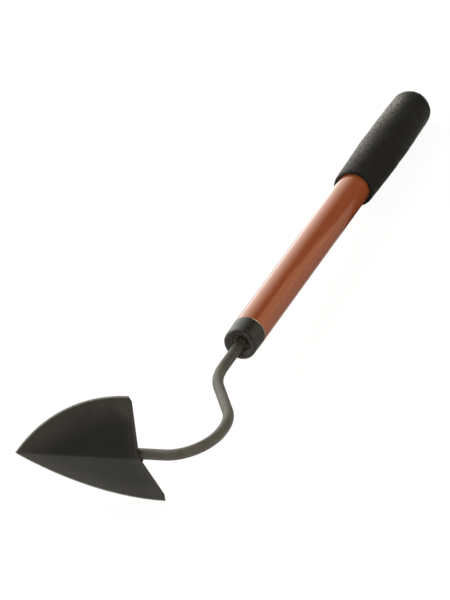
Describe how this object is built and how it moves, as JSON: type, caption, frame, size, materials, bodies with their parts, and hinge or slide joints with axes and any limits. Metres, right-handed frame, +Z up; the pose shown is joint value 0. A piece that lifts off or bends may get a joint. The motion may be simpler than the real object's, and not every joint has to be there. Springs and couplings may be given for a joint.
{
  "type": "garden hoe",
  "caption": "Short-handled garden hoe with a pointed folded blade, a bent round neck, a black ferrule, a painted tube handle and a foam grip.",
  "frame": {"origin": "on the ground, under the centre of the bounding box of the hoe as it lies at rest on one curved edge of the blade and on the end of the grip", "axes": "+Z is up, +X is level and points along the handle from the blade to the grip, and +Y is on the side the blade's tip points to"},
  "size_m": [0.5118, 0.166, 0.0879],
  "materials": {
    "black_steel": "satin",
    "weld_steel": "satin",
    "black_plastic": "satin",
    "pin_steel": "satin",
    "orange_paint": "gloss",
    "black_foam": "matte"
  },
  "bodies": {
    "root": {"blade": "black_steel", "neck": "black_steel", "weld_left": "weld_steel", "weld_right": "weld_steel", "ferrule": "black_plastic", "cross_pin": "pin_steel", "shank_bush": "black_plastic", "handle_tube": "orange_paint", "tube_end_plug": "black_plastic", "foam_grip": "black_foam"}
  },
  "joints": []
}
